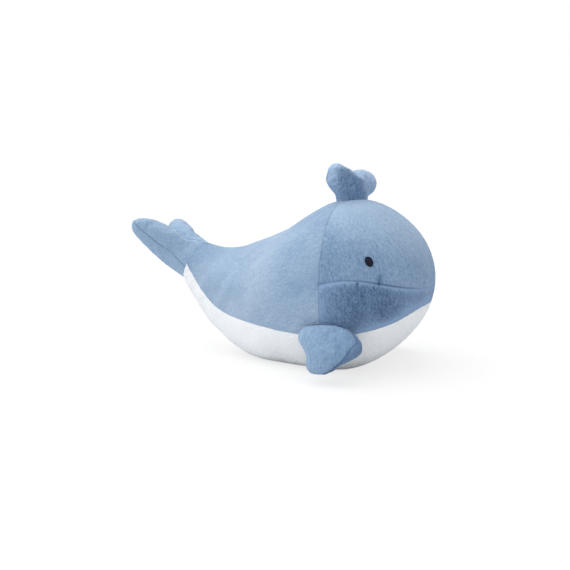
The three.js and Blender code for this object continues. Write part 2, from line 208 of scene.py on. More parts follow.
def parted(bm, faces, middle, normal, snap, cut_off=False):
    """Cuts a seam through some faces on a plane."""
    parts = set(faces)
    for f in faces:
        parts.update(f.edges, f.verts)
    bmesh.ops.bisect_plane(
        bm, geom=list(parts), dist=snap * MM, plane_co=middle, plane_no=normal,
        use_snap_center=True, clear_outer=cut_off,
    )


def seam_line(points):
    rows = [points[0], *points, points[-1]]
    spots = [between(rows, k / 8) for k in range(8 * (len(points) - 1) + 1)]
    return np.array(spots).T * MM


def height_on(line, x):
    return float(np.interp(x, line[0], line[1]))


def parted_along(bm, faces, line, snap):
    """Cuts a seam on a line seen from the side. The mesh is sheared level for it and back again."""
    for v in bm.verts:
        v.co.z -= height_on(line, v.co.x)
    parted(bm, faces, (0, 0, 0), (0, 0, 1), snap)
    for v in bm.verts:
        v.co.z += height_on(line, v.co.x)


def eased(bm):
    """Evens out the seam lines along themselves, but for the points where three panels meet."""
    mates = {}
    for e in bm.edges:
        if len(panels_at(e)) > 1:
            for v in e.verts:
                mates.setdefault(v, []).append(e.other_vert(v))
    for v in list(mates):
        if len(mates[v]) < 2 or len(panels_at(v)) > 2:
            del mates[v]
    for _ in range(6):
        spots = {}
        for v, beside in mates.items():
            middle = sum((m.co for m in beside), Vector()) / len(beside)
            spots[v] = (v.co + middle) / 2
        for v, spot in spots.items():
            v.co = spot


def stuffed(bm, most):
    """Swells a cover with Blender's cloth, held where two panels meet and at open edges."""
    bm.verts.index_update()
    held = set()
    for e in bm.edges:
        if e.is_boundary or len(panels_at(e)) > 1:
            held.update(v.index for v in e.verts)
    mesh = bpy.data.meshes.new("work")
    bm.to_mesh(mesh)
    work = bpy.data.objects.new("work", mesh)
    scene.collection.objects.link(work)
    work.vertex_groups.new(name="sewn").add(sorted(held), 1.0, "REPLACE")
    cloth = work.modifiers.new("work", "CLOTH")
    cloth.settings.quality = 6
    cloth.settings.mass = 0.3
    cloth.settings.tension_stiffness = 15
    cloth.settings.compression_stiffness = 15
    cloth.settings.shear_stiffness = 5
    cloth.settings.bending_stiffness = 0.3
    cloth.settings.air_damping = 2
    cloth.settings.use_pressure = True
    cloth.settings.uniform_pressure_force = STUFFING_PRESSURE
    cloth.settings.shrink_min = -CLOTH_SLACK
    cloth.settings.vertex_group_mass = "sewn"
    cloth.settings.effector_weights.gravity = 0
    cloth.collision_settings.use_collision = False
    cloth.point_cache.frame_start = 1
    cloth.point_cache.frame_end = CLOTH_FRAMES
    for step in range(1, CLOTH_FRAMES + 1):
        scene.frame_set(step)
    swollen = work.evaluated_get(bpy.context.evaluated_depsgraph_get()).data
    moves = [s.co - v.co for v, s in zip(bm.verts, swollen.vertices)]
    for v, move in zip(bm.verts, moves):
        v.co += move * min(1, most * MM / max(move.length, 1e-9))
    bpy.data.objects.remove(work)
    bpy.data.meshes.remove(mesh)
    scene.frame_set(1)


def rounded(bm):
    """The cover in fine cells, with its seams kept as clean lines."""
    kept = bm.edges.layers.float.new("crease_edge")
    for e in bm.edges:
        if len(panels_at(e)) > 1:
            e[kept] = 1
    return worked(bm, "SUBSURF", levels=FINENESS, render_levels=FINENESS)


def body_seam(pair, spot):
    """How the seam between a pair of panels, or the free edge of one, looks at a spot."""
    if len(pair) == 1:
        return FREE_EDGE
    if BELLY in pair:
        return JAW_EDGE if JAW in pair else BELLY_EDGE
    if pair == {HEAD_CAP, JAW}:
        x = spot.x / MM
        pinch = math.exp(-((x - PINCH_X) / PINCH_REACH) ** 2)
        fade = min(max((MOUTH_END_X - x) / MOUTH_FADE, 0), 1)
        depth = (MOUTH_DEPTH + PINCH_DEPTH * pinch) * fade - NOSE_PUFF * (1 - fade)
        return depth, (MOUTH_DARK + PINCH_DARK * pinch) * fade, *MOUTH_RIM
    if pair == {BACK_RIGHT, BACK_LEFT}:
        return BACK_MIDDLE
    return HEAD_RING if spot.z < HEAD_RING_TOP_Z * MM else HEAD_RING_TOP


def body_nap(spot):
    return HEAD_NAP if spot.x > HEAD_SEAM_X * MM else BACK_NAP


def seam_points(bm, kind):
    """The points of the seams and the free edges, with what is known of the seam at each."""
    spots = {}
    for e in bm.edges:
        pair = panels_at(e)
        if e.is_boundary or len(pair) > 1:
            for v in e.verts:
                spots[v] = max(spots.get(v, (-9,)), kind(pair, v.co))
    return [(v.co.copy(), *known) for v, known in spots.items()]


def finder(points):
    tree = kdtree.KDTree(len(points))
    for k, point in enumerate(points):
        tree.insert(point[0], k)
    tree.balance()
    return tree


def nose_end(v):
    """How far a point faces ahead on the rounded nose, where the head and jaw plush take a painted
    sheen.
    """
    return max((v.normal.x - 0.5) / 0.5, 0)


# Puckers along a seam, the groove, the width of the shade painted along it, and where the cloth is
# calm
PUCKER, GROOVE, SEAM_SHADE_WIDE, CALM = 7, 1.6, 0.8, 3
# A dart's groove, its depth and width, and the width of the shade painted along it
DART_DEPTH, DART_WIDE, DART_SHADE_WIDE = 1.3, 1.8, 1.1
DART_SIDE = 30
BROAD_LUMP, SMALL_LUMP = 34, 15
TUFT, SMALL_TUFT, STRAND = 2.9, 1.5, 0.9


def dressed(
        bm, kind, lumps, nap, stretch=0.62, side_tone=nose_end, darts=(), eyes=(), folds=None):
    """Draws the seams in, raises the pile along its nap, and keeps both for the material, with the
    masks of its painted light and shade.
    """
    bm.normal_update()
    # Masks for the material: shade painted in the seams, a painted band beside them, upward faces
    # painted lighter, a tone on one side, tufts and the pile's lie
    crease = bm.verts.layers.float.new("crease")
    rim = bm.verts.layers.float.new("rim")
    top_light = bm.verts.layers.float.new("top_light")
    side_tone_layer = bm.verts.layers.float.new("side_tone")
    tuft = bm.verts.layers.float.new("tuft")
    lie = bm.verts.layers.float_vector.new("lie")
    out = bm.verts.layers.float_vector.new("out")
    points = seam_points(bm, kind)
    nearest = finder(points)
    kinds = sorted({(weight, reach) for *_, weight, reach in points if weight})
    rims = [(*each, finder([p for p in points if p[3:] == each])) for each in kinds]
    for v in bm.verts:
        v[out] = sum((w.normal for f in v.link_faces for w in f.verts), Vector()).normalized()
        _, k, far = nearest.find(v.co)
        far /= MM
        _, depth, dark, _, _ = points[k]
        pucker = 0.8 + 0.5 * noise.noise(v.co / (PUCKER * MM))
        drop = depth * pucker * math.exp(-far / GROOVE)
        # Shade painted in the groove of the seam, and then along the darts
        near = dark * math.exp(-(far / SEAM_SHADE_WIDE) ** 2)
        for x0, z0, x1, z1 in darts:
            if abs(v.co.y) < DART_SIDE * MM:
                continue
            spot = Vector((v.co.x / MM - x0, v.co.z / MM - z0))
            line = Vector((x1 - x0, z1 - z0))
            share = min(max(spot.dot(line) / line.length_squared, 0), 1)
            beside = (spot - line * share).length
            drop += DART_DEPTH * (1 - share) * math.exp(-(beside / DART_WIDE) ** 2)
            near = max(near, (1 - share * 0.6) * math.exp(-(beside / DART_SHADE_WIDE) ** 2))
        if eyes:
            beside = min((v.co - e).length for e in eyes) / MM
            drop += EYE_DIMPLE * math.exp(-(beside / EYE_DIMPLE_REACH) ** 2)
        way = nap(v.co)
        combed = v.co - way * v.co.dot(way) * stretch
        soft = noise.noise(v.co / (BROAD_LUMP * MM) + Vector((7, 3, 5)))
        lump = noise.noise(v.co / (SMALL_LUMP * MM)) * (1 - abs(v.normal.z))
        pile = (
            0.2 * noise.noise(combed / (TUFT * MM))
            + 0.35 * noise.noise(combed / (SMALL_TUFT * MM))
            + 0.45 * noise.noise(v.co / (STRAND * MM))
        )
        calm = 1 - math.exp(-far / CALM)
        fold = folds(v) if folds else 0
        # Painted shade in the grooves, the painted band by the seams, upward faces painted as lit
        # from above, and the tone on one side
        v[crease] = near
        v[rim] = sum(
            weight * math.exp(-seam.find(v.co)[2] / (reach * MM)) for weight, reach, seam in rims)
        v[top_light] = max((v.normal.z - 0.3) / 0.7, 0)
        v[side_tone_layer] = side_tone(v)
        v[tuft] = pile
        v[lie] = combed
        rise = lumps * (0.6 * soft + 0.4 * lump) * calm + fold * calm + PILE_RISE * pile - drop
        v.co += v.normal * rise * MM
        v.co.z = max(v.co.z, FLOOR_CLEAR * MM)


def put(bm, name, material, body, slot):
    """A finished piece from a bmesh, at the origin, riding on its body."""
    for f in bm.faces:
        f.smooth = True
        f.material_index = 0
    mesh = bpy.data.meshes.new(name)
    bm.to_mesh(mesh)
    bm.free()
    mesh.materials.append(material)
    piece = bpy.data.objects.new(name, mesh)
    scene.collection.objects.link(piece)
    if body:
        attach(piece, body)
    return piece


def panel(bm, index, name, material, body, slot):
    """One panel of a dressed cover, with its seam allowance turned in."""
    cut = bm.copy()
    bmesh.ops.delete(cut, geom=[f for f in cut.faces if f.material_index != index], context="FACES")
    out = cut.verts.layers.float_vector["out"]
    edge = [e for e in cut.edges if e.is_boundary]
    turned = bmesh.ops.extrude_edge_only(cut, edges=edge)["geom"]
    for v in turned:
        if isinstance(v, bmesh.types.BMVert):
            v.co -= v[out] * SEAM_ALLOWANCE * MM
            v.co.z = max(v.co.z, FLOOR_CLEAR * MM)
    return put(cut, name, material, body, slot)


def tint(red, green, blue):
    """A colour card's 0 to 255 values as the linear values that the renderer takes."""
    shares = [v / 255 for v in (red, green, blue)]
    return (*[v / 12.92 if v <= 0.04045 else ((v + 0.055) / 1.055) ** 2.4 for v in shares], 1)


def value_of(nodes, links, operation, first, second):
    """A Math node whose inputs are numbers or sockets."""
    node = nodes.new("ShaderNodeMath")
    node.operation = operation
    for socket, given in zip(node.inputs, (first, second)):
        if isinstance(given, (int, float)):
            socket.default_value = given
        else:
            links.new(given, socket)
    return node.outputs[0]


def plush_pile():
    """Colour and height of short pile: brushed patches, tufts and fibres, with shade painted in the
    seams and painted light and shade by the seams, on upward faces and on one side.
    """
    group = bpy.data.node_groups.new("plush_pile", "ShaderNodeTree")
    for name, way, kind in [
        ("Lit", "INPUT", "NodeSocketColor"), ("Shaded", "INPUT", "NodeSocketColor"),
        ("Seam", "INPUT", "NodeSocketColor"), ("Rim", "INPUT", "NodeSocketFloat"),
        ("Top_light", "INPUT", "NodeSocketFloat"), ("Side_tone", "INPUT", "NodeSocketFloat"),
        ("Brushed", "INPUT", "NodeSocketFloat"), ("Patches", "INPUT", "NodeSocketFloat"),
        ("Colour", "OUTPUT", "NodeSocketColor"), ("Height", "OUTPUT", "NodeSocketFloat"),
    ]:
        group.interface.new_socket(name=name, in_out=way, socket_type=kind)
    nodes, links = group.nodes, group.links
    given = nodes.new("NodeGroupInput")
    made = nodes.new("NodeGroupOutput")
    combed = nodes.new("ShaderNodeAttribute")
    combed.attribute_name = "lie"

    def grain(vector, scale, detail):
        texture = nodes.new("ShaderNodeTexNoise")
        texture.inputs["Scale"].default_value = scale
        texture.inputs["Detail"].default_value = detail
        links.new(vector, texture.inputs["Vector"])
        return texture.outputs["Fac"]

    def read(name):
        attribute = nodes.new("ShaderNodeAttribute")
        attribute.attribute_name = name
        return attribute.outputs["Fac"]

    def math_of(*given):
        return value_of(nodes, links, *given)

    patches = grain(combed.outputs["Vector"], 34, 3)
    tufts = grain(combed.outputs["Vector"], 330, 3)
    strands = grain(combed.outputs["Vector"], 760, 2)
    fibres = grain(combed.outputs["Vector"], 1500, 2)
    share = math_of("MULTIPLY", math_of("SUBTRACT", patches, 0.5), given.outputs["Patches"])
    for layer, weight in [(tufts, 0.3), (strands, 0.7), (fibres, 0.8), (read("tuft"), 0.35)]:
        share = math_of("ADD", share, math_of("MULTIPLY", layer, weight))
    # Painted light and shade, each by the plush's weight: the band by the seams, upward faces as
    # lit from above, and the tone on one side
    for name in ("Rim", "Top_light", "Side_tone"):
        share = math_of("ADD", share, math_of("MULTIPLY", read(name.lower()), given.outputs[name]))
    share = math_of("ADD", share, given.outputs["Brushed"])
    share = math_of("SUBTRACT", share, 0.4)
    nap = nodes.new("ShaderNodeMix")
    nap.data_type = "RGBA"
    nap.clamp_factor = True
    links.new(share, nap.inputs["Factor"])
    links.new(given.outputs["Shaded"], nap.inputs["A"])
    links.new(given.outputs["Lit"], nap.inputs["B"])
    # Shade painted in the seam grooves
    sewn = nodes.new("ShaderNodeMix")
    sewn.data_type = "RGBA"
    links.new(read("crease"), sewn.inputs["Factor"])
    links.new(nap.outputs["Result"], sewn.inputs["A"])
    links.new(given.outputs["Seam"], sewn.inputs["B"])
    links.new(sewn.outputs["Result"], made.inputs["Colour"])
    height = math_of("ADD", math_of("ADD", tufts, strands), fibres)
    links.new(height, made.inputs["Height"])
    return group


PILE = plush_pile()
# Colours of the shade painted in the seam grooves of blue and of white plush
SEAM_SHADE_BLUE, SEAM_SHADE_WHITE = tint(66, 90, 122), tint(190, 198, 210)


def plush(
        name, lit, shaded, sheen, seam=SEAM_SHADE_BLUE,
        rim=0.0, top_light=0.0, side_tone=0.0, brushed=0.0, patches=0.6):
    """A plush of one dye lot, as its pile lies in one panel, with the painted light and shade that
    its weights ask for.
    """
    material = bpy.data.materials.new(name)
    material.use_nodes = True
    nodes, links = material.node_tree.nodes, material.node_tree.links
    skin = nodes["Principled BSDF"]
    pile = nodes.new("ShaderNodeGroup")
    pile.node_tree = PILE
    for socket, value in [
        ("Lit", lit), ("Shaded", shaded), ("Seam", seam), ("Rim", rim), ("Top_light", top_light),
        ("Side_tone", side_tone), ("Brushed", brushed), ("Patches", patches),
    ]:
        pile.inputs[socket].default_value = value
    bump = nodes.new("ShaderNodeBump")
    bump.inputs["Strength"].default_value = 0.65
    bump.inputs["Distance"].default_value = 0.001
    links.new(pile.outputs["Colour"], skin.inputs["Base Color"])
    links.new(pile.outputs["Height"], bump.inputs["Height"])
    links.new(bump.outputs["Normal"], skin.inputs["Normal"])
    skin.inputs["Roughness"].default_value = 0.95
    skin.inputs["Specular IOR Level"].default_value = 0.1
    skin.inputs["Sheen Weight"].default_value = sheen
    skin.inputs["Sheen Roughness"].default_value = 0.35
    skin.inputs["Sheen Tint"].default_value = (0.8, 0.9, 1, 1)
    return material


# The back is painted darker beside the tail, head and belly seams as shade
BACK_PLUSH = plush(
    "blue_plush_back", tint(174, 194, 215), tint(130, 157, 188), 0.35,
    rim=-0.5, brushed=0.05, patches=1.5)
# The head's upward faces are painted lighter as lit from above, its nose end with a painted sheen
HEAD_PLUSH = plush(
    "blue_plush_head", tint(163, 186, 211), tint(96, 127, 164), 0.2,
    top_light=0.75, side_tone=0.15, brushed=-0.17)
# The jaw is painted lighter along its seams as a highlight, its nose end with a painted sheen
JAW_PLUSH = plush(
    "blue_plush_jaw", tint(134, 161, 196), tint(50, 77, 111), 0.2,
    rim=1.35, side_tone=0.45, brushed=-0.29, patches=0.9)
WHITE_PLUSH = plush(
    "white_plush", tint(248, 250, 252), tint(231, 236, 242), 0.1, seam=SEAM_SHADE_WHITE)

belly_line, mouth_line = seam_line(BELLY_SEAM), seam_line(MOUTH_SEAM)
tail_top_x, tail_top_z, tail_low_x, tail_low_z, _ = BODY_RIBS[0]
TAIL_MIDDLE = Vector(((tail_top_x + tail_low_x) / 2, 0, (tail_top_z + tail_low_z) / 2)) * MM
TAIL_UP = Vector((tail_top_x - tail_low_x, 0, tail_top_z - tail_low_z)).normalized()
TAIL_OUT = Vector((-TAIL_UP.z, 0, TAIL_UP.x))

# The form starts half a rib past the tail seam, where it is cut open, and ends at the nose
cover = evenly_meshed(form(on_body, -0.5, BACK_SPANS + 1, 110, 96), BODY_CELL)
parted(cover, cover.faces, TAIL_MIDDLE, TAIL_OUT, 1, cut_off=True)
parted_along(cover, cover.faces, belly_line, SEAM_SNAP)


def over_belly(f):
    spot = f.calc_center_median()
    return spot.z > height_on(belly_line, spot.x)


def ahead(f):
    return f.calc_center_median().x > HEAD_SEAM_X * MM


upper = [f for f in cover.faces if over_belly(f)]
parted(cover, upper, (HEAD_SEAM_X * MM, 0, 0), (1, 0, 0), SEAM_SNAP)
head = [f for f in cover.faces if over_belly(f) and ahead(f)]
parted_along(cover, head, mouth_line, SEAM_SNAP)
back = [f for f in cover.faces if over_belly(f) and not ahead(f)]
parted(cover, back, (0, 0, 0), (0, 1, 0), SEAM_SNAP)
for f in cover.faces:
    spot = f.calc_center_median()
    if not over_belly(f):
        f.material_index = BELLY
    elif ahead(f):
        f.material_index = HEAD_CAP if spot.z > height_on(mouth_line, spot.x) else JAW
    else:
        f.material_index = BACK_LEFT if spot.y > 0 else BACK_RIGHT
eased(cover)
for v in cover.verts:
    v.co.z = max(v.co.z, 0)
stuffed(cover, BODY_SWELL)
# The hard filling evens out the ripples. Points of a seam move in and out only.
inside = [v for v in cover.verts if not v.is_boundary]
between_seams = [v for v in inside if len(panels_at(v)) == 1]
on_seams = [v for v in inside if len(panels_at(v)) > 1]
for ripples in [inside] * 3 + [between_seams] * 5:
    cover.normal_update()
    sewn = [(v, v.co.copy(), v.normal.copy()) for v in on_seams]
    smoothed(cover, ripples)
    for v, spot, normal in sewn:
        v.co = spot + normal * normal.dot(v.co - spot)
for v in cover.verts:
    v.co.z = max(v.co.z, 0)


def filling(bm, depth, name, node, body, bend=None):
    """The stuffing just under a cover: loose polyester fibre, pressed to the cover's form."""
    inner = bm.copy()
    bmesh.ops.holes_fill(inner, edges=[e for e in inner.edges if e.is_boundary])
    inner.normal_update()
    for v in inner.verts:
        lump = noise.noise(v.co / (FILL_LUMP * MM))
        v.co -= v.normal * (depth + FILL_UNEVEN * lump) * MM
        v.co.z = max(v.co.z, depth * MM)
    piece = put(inner, name, FIBRE, None if bend else body, "fibre_fill")
    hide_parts(node)
    if bend:
        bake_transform(piece)


def fibre_fill():
    material = bpy.data.materials.new("fibre_fill")
    material.use_nodes = True
    nodes, links = material.node_tree.nodes, material.node_tree.links
    skin = nodes["Principled BSDF"]
    place = nodes.new("ShaderNodeTexCoord")
    strands = nodes.new("ShaderNodeTexNoise")
    strands.inputs["Scale"].default_value = 260
    strands.inputs["Detail"].default_value = 6
    strands.inputs["Distortion"].default_value = 2.5
    links.new(place.outputs["Object"], strands.inputs["Vector"])
    mix = nodes.new("ShaderNodeMix")
    mix.data_type = "RGBA"
    mix.inputs["A"].default_value = tint(226, 224, 216)
    mix.inputs["B"].default_value = tint(250, 249, 244)
    links.new(strands.outputs["Fac"], mix.inputs["Factor"])
    links.new(mix.outputs["Result"], skin.inputs["Base Color"])
    bump = nodes.new("ShaderNodeBump")
    bump.inputs["Strength"].default_value = 0.7
    bump.inputs["Distance"].default_value = 0.002
    links.new(strands.outputs["Fac"], bump.inputs["Height"])
    links.new(bump.outputs["Normal"], skin.inputs["Normal"])
    skin.inputs["Roughness"].default_value = 0.9
    skin.inputs["Sheen Weight"].default_value = 0.3
    return material


FIBRE = fibre_fill()
filling(cover, BODY_FILL_DEPTH, "body_fibre", "body_stuffing", "body")

FOLD_WAY = Vector((0.75, 0, 0.66)).normalized()
FOLD_HEIGHT, FOLD_WIDE, FOLD_STRETCH = 2, 13, 0.78
FOLDS_START_X, FOLDS_FULL = 10, 90


def tail_folds(v):
    """Soft slanting folds on the sides where the back narrows to the tail."""
    share = min(max((FOLDS_START_X * MM - v.co.x) / (FOLDS_FULL * MM), 0), 1)
    share *= max(1 - 1.3 * abs(v.normal.z), 0)
    along = v.co - FOLD_WAY * v.co.dot(FOLD_WAY) * FOLD_STRETCH
    return FOLD_HEIGHT * share * noise.noise(along / (FOLD_WIDE * MM) + Vector((2, 9, 4)))


EYE_SEAT = Vector((75, -60.53, 104.6)) * MM
EYE_FACING = Vector((0.4226, -0.8531, 0.3060)).normalized()
cover = rounded(cover)
eye_seats = (EYE_SEAT, Vector((EYE_SEAT.x, -EYE_SEAT.y, EYE_SEAT.z)))
dressed(
    cover, body_seam, BODY_LUMPS, body_nap, stretch=0.55, darts=DARTS, eyes=eye_seats,
    folds=tail_folds)
head_surface = BVHTree.FromBMesh(cover)
EYE_SPOT = head_surface.ray_cast(EYE_SEAT + EYE_FACING * 20 * MM, -EYE_FACING)[0]
for index, name, node, material, slot in [
    (BELLY, "belly_plush", "belly_panel", WHITE_PLUSH, "white_plush"),
    (BACK_RIGHT, "back_plush_right", "back_panel_right", BACK_PLUSH, "blue_plush"),
    (BACK_LEFT, "back_plush_left", "back_panel_left", BACK_PLUSH, "blue_plush"),
    (HEAD_CAP, "head_cap_plush", "head_cap_panel", HEAD_PLUSH, "blue_plush"),
    (JAW, "jaw_plush", "jaw_panel", JAW_PLUSH, "blue_plush"),
]:
    piece = panel(cover, index, name, material, "body", slot)
    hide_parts(node)
cover.free()


# Ballast pouch
# Two round discs of unbleached cotton, sewn together along their edge and filled with
# plastic pellets. The bag lies loose on the inside of the belly and is never seen.
POUCH_RADIUS, POUCH_HEIGHT, POUCH_FLAT, POUCH_RIM = 36, 22, 12, 10
POUCH_CLOTH = 0.8
POUCH_FLOOR = 2.8
POUCH_CREASE, POUCH_CREASE_SIZE = 0.25, 8
PELLET, PELLET_RISE, PELLET_REACH, PELLET_SINK = 3.6, 0.9, 0.75, 0.2
PELLETS_LOOSE = 1.4


def on_pouch(inset):
    """Where the points of a flat round bag lie: reach runs from its underside to its top."""
    low, high = POUCH_FLOOR + inset, POUCH_FLOOR + POUCH_HEIGHT - inset
    rim = POUCH_FLOOR + POUCH_RIM
    radius = POUCH_RADIUS - inset

    def place(reach, turn):
        if reach < 0:
            out = POUCH_FLAT + (radius - POUCH_FLAT) * math.cos(reach * math.pi / 2)
            z = rim + (rim - low) * math.sin(reach * math.pi / 2)
            if reach < -0.999:
                out = 0
        else:
            out = radius * math.cos(reach * math.pi / 2)
            z = rim + (high - rim) * math.sin(reach * math.pi / 2)
        return Vector((out * math.cos(turn), out * math.sin(turn), z)) * MM
    return place


def cotton_weave():
    material = bpy.data.materials.new("pouch_cotton")
    material.use_nodes = True
    nodes, links = material.node_tree.nodes, material.node_tree.links
    skin = nodes["Principled BSDF"]
    place = nodes.new("ShaderNodeTexCoord")
    threads = []
    for way in ("X", "Y"):
        thread = nodes.new("ShaderNodeTexWave")
        thread.bands_direction = way
        thread.inputs["Scale"].default_value = 420
        thread.inputs["Distortion"].default_value = 1.5
        links.new(place.outputs["Object"], thread.inputs["Vector"])
        threads.append(thread.outputs["Fac"])
    weave = value_of(nodes, links, "MAXIMUM", *threads)
    mix = nodes.new("ShaderNodeMix")
    mix.data_type = "RGBA"
    mix.inputs["A"].default_value = tint(190, 180, 158)
    mix.inputs["B"].default_value = tint(222, 214, 196)
    links.new(weave, mix.inputs["Factor"])
    links.new(mix.outputs["Result"], skin.inputs["Base Color"])
    bump = nodes.new("ShaderNodeBump")
    bump.inputs["Strength"].default_value = 0.5
    bump.inputs["Distance"].default_value = 0.0003
    links.new(weave, bump.inputs["Height"])
    links.new(bump.outputs["Normal"], skin.inputs["Normal"])
    skin.inputs["Roughness"].default_value = 0.9
    return material


def plastic_pellets():
    material = bpy.data.materials.new("ballast_pellets")
    material.use_nodes = True
    nodes, links = material.node_tree.nodes, material.node_tree.links
    skin = nodes["Principled BSDF"]
    place = nodes.new("ShaderNodeTexCoord")
    each = nodes.new("ShaderNodeTexVoronoi")
    each.inputs["Scale"].default_value = 1 / (PELLET * MM)
    links.new(place.outputs["Object"], each.inputs["Vector"])
    # Each pellet is painted darker toward its edge: painted shade in the gaps between pellets
    mix = nodes.new("ShaderNodeMix")
    mix.data_type = "RGBA"
    mix.inputs["A"].default_value = tint(216, 219, 222)
    mix.inputs["B"].default_value = tint(150, 156, 164)
    links.new(each.outputs["Distance"], mix.inputs["Factor"])
    links.new(mix.outputs["Result"], skin.inputs["Base Color"])
    skin.inputs["Roughness"].default_value = 0.45
    return material


COTTON = cotton_weave()
for name, node, first, last in [
    ("pouch_disc_lower", "ballast_pouch_lower", -1, -0.012),
    ("pouch_disc_upper", "ballast_pouch_upper", 0.012, 1),
]:
    disc = bmesh.new()
    bmesh.ops.create_grid(disc, x_segments=24, y_segments=72, size=1)
    for v in disc.verts:
        reach = first + (last - first) * (v.co.x + 1) / 2
        v.co = on_pouch(0)(reach, math.pi * (v.co.y + 1))
    bmesh.ops.remove_doubles(disc, verts=disc.verts, dist=1e-5)
    bmesh.ops.recalc_face_normals(disc, faces=disc.faces)
    if sum(f.normal.z for f in disc.faces) * (first + last) < 0:
        bmesh.ops.reverse_faces(disc, faces=disc.faces)
    for v in disc.verts:
        crease = noise.noise(v.co / (POUCH_CREASE_SIZE * MM))
        v.co += v.normal * POUCH_CREASE * crease * MM
    disc = worked(disc, "SOLIDIFY", thickness=POUCH_CLOTH * MM * 0.9, offset=-1)
    piece = put(disc, name, COTTON, "body", "pouch_cotton")
    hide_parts(node)
pellets = form(on_pouch(POUCH_CLOTH + PELLETS_LOOSE), -1, 1, 90, 160)
pellets.normal_update()
for v in pellets.verts:
    far = noise.voronoi(v.co / (PELLET * MM))[0][0]
    bulge = math.sqrt(max(1 - (far / PELLET_REACH) ** 2, 0))
    v.co += v.normal * (PELLET_RISE * bulge - PELLET_SINK) * MM
piece = put(pellets, "pellet_fill", plastic_pellets(), "body", "ballast_pellets")
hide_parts("ballast_pellets")


# Eyes
# Small ovals of dark thread, stitched through the head cap in close satin rows. The
# stitches draw the plush in a little, so each eye lies in a shallow dimple.
EYE_WIDE, EYE_TALL, EYE_RISE = 6.7, 9.5, 1.5
EYE_LEAN = math.radians(27)
STITCH, STITCH_RISE, STITCH_SLANT = 0.5, 0.12, 0.25


def stitched_thread():
    material = bpy.data.materials.new("eye_thread")
    material.use_nodes = True
    nodes, links = material.node_tree.nodes, material.node_tree.links
    skin = nodes["Principled BSDF"]
    place = nodes.new("ShaderNodeTexCoord")
    twist = nodes.new("ShaderNodeTexNoise")
    twist.inputs["Scale"].default_value = 1800
    links.new(place.outputs["Object"], twist.inputs["Vector"])
    mix = nodes.new("ShaderNodeMix")
    mix.data_type = "RGBA"
    mix.inputs["A"].default_value = tint(12, 16, 28)
    mix.inputs["B"].default_value = tint(34, 40, 58)
    links.new(twist.outputs["Fac"], mix.inputs["Factor"])
    links.new(mix.outputs["Result"], skin.inputs["Base Color"])
    bump = nodes.new("ShaderNodeBump")
    bump.inputs["Strength"].default_value = 0.4
    bump.inputs["Distance"].default_value = 0.0003
    links.new(twist.outputs["Fac"], bump.inputs["Height"])
    links.new(bump.outputs["Normal"], skin.inputs["Normal"])
    skin.inputs["Roughness"].default_value = 0.75
    skin.inputs["Specular IOR Level"].default_value = 0.12
    return material


THREAD = stitched_thread()
eye = bmesh.new()
bmesh.ops.create_uvsphere(eye, u_segments=72, v_segments=36, radius=1)
bmesh.ops.scale(eye, vec=Vector((EYE_WIDE / 2, EYE_TALL / 2, EYE_RISE)), verts=eye.verts)
for v in eye.verts:
    row = math.sin(math.pi * (v.co.y + STITCH_SLANT * v.co.x) / STITCH)
    if v.co.z > 0:
        v.co.z += STITCH_RISE * row * row
eye_across = Vector((-EYE_FACING.y, EYE_FACING.x, 0)).normalized()
eye_up = EYE_FACING.cross(eye_across)
long_way = eye_up * math.cos(EYE_LEAN) - eye_across * math.sin(EYE_LEAN)
short_way = long_way.cross(EYE_FACING)
turned = Matrix((short_way, long_way, EYE_FACING)).transposed().to_4x4()
bmesh.ops.scale(eye, vec=Vector((MM, MM, MM)), verts=eye.verts)
bmesh.ops.transform(eye, matrix=turned, verts=eye.verts)
bmesh.ops.translate(eye, vec=EYE_SPOT, verts=eye.verts)


def flipped(spot):
    return Vector((spot[0], -spot[1], spot[2]))


def mirrored(bm):
    """The left-hand copy of a right-hand piece."""
    other = bm.copy()
    bmesh.ops.scale(other, vec=(1, -1, 1), verts=other.verts)
    for kept in other.verts.layers.float_vector.values():
        for v in other.verts:
            v[kept] = flipped(v[kept])
    bmesh.ops.reverse_faces(other, faces=other.faces)
    return other


for side, stitches in [("left", mirrored(eye)), ("right", eye)]:
    piece = put(stitches, f"{side}_eye_stitches", THREAD, "body", "eye_thread")
    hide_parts(f"{side}_eye")


# Fins
# Two plush leaves sewn along their edge, turned out, stuffed soft and caught in the
# belly seam by their straight root. They hang down and swing about that root.
FIN_AXIS = Vector((44.862, -76.042, 42.238)) * MM
FIN_ACROSS = Vector((0.99467, 0.10315, 0)).normalized()
FIN_OUT = Vector((0.0125, -0.1206, -0.9926)).normalized()
FIN_ROOT_RADIUS = 8.5
FIN_PRESS = 1.2
# Along, centre, half width, half thickness
FIN_RIBS = [
    (-1.2, -1, 9, 0), (0.4, -1.4, 16, 4.6), (3.4, -1.4, 22.8, 7.2), (9, 0, 27.6, 9),
    (15, 2.2, 28.8, 10.4), (21, 4.2, 26.6, 11.2), (27, 2.4, 21.2, 10.8), (33, -2.4, 16.4, 9.6),
    (39, -6.6, 12.4, 7.4), (44.4, -8.6, 0, 0),
]
# The edge seam lies up on the outer face along the lower front edge, which runs from the
# front corner (across, along) that way. Lift over the run from that corner:
FIN_CORNER, FIN_EDGE = Vector((26, 22)), Vector((-0.8, 0.6))
FIN_SEAM_LIFT = [(-9, 0.8), (-3, 6.8), (5, 8.2), (20, 5.6), (46, 0)]
# How far in from that edge the lift starts to fade, and over what
FIN_LIFT_DEEP, FIN_LIFT_FADE = 22, 14
FIN_BEND_START, FIN_BEND_END = -8, 10
FIN_FRONT = 20
LIMB_CELL, LIMB_SNAP, LIMB_MERGE = 3.2, 0.8, 0.9
LIMB_SWELL, LIMB_LUMPS, LIMB_FILL_DEPTH = 3, 0.6, 2.8
# A limb's root and edge seams, in the body's terms: shade painted in the edge seam, and a band by
# the root that the fluke and spout plush paint as a highlight
LIMB_ROOT, LIMB_EDGE = (0, 0, 1, 9), (0.9, 0.35, 0, 1)


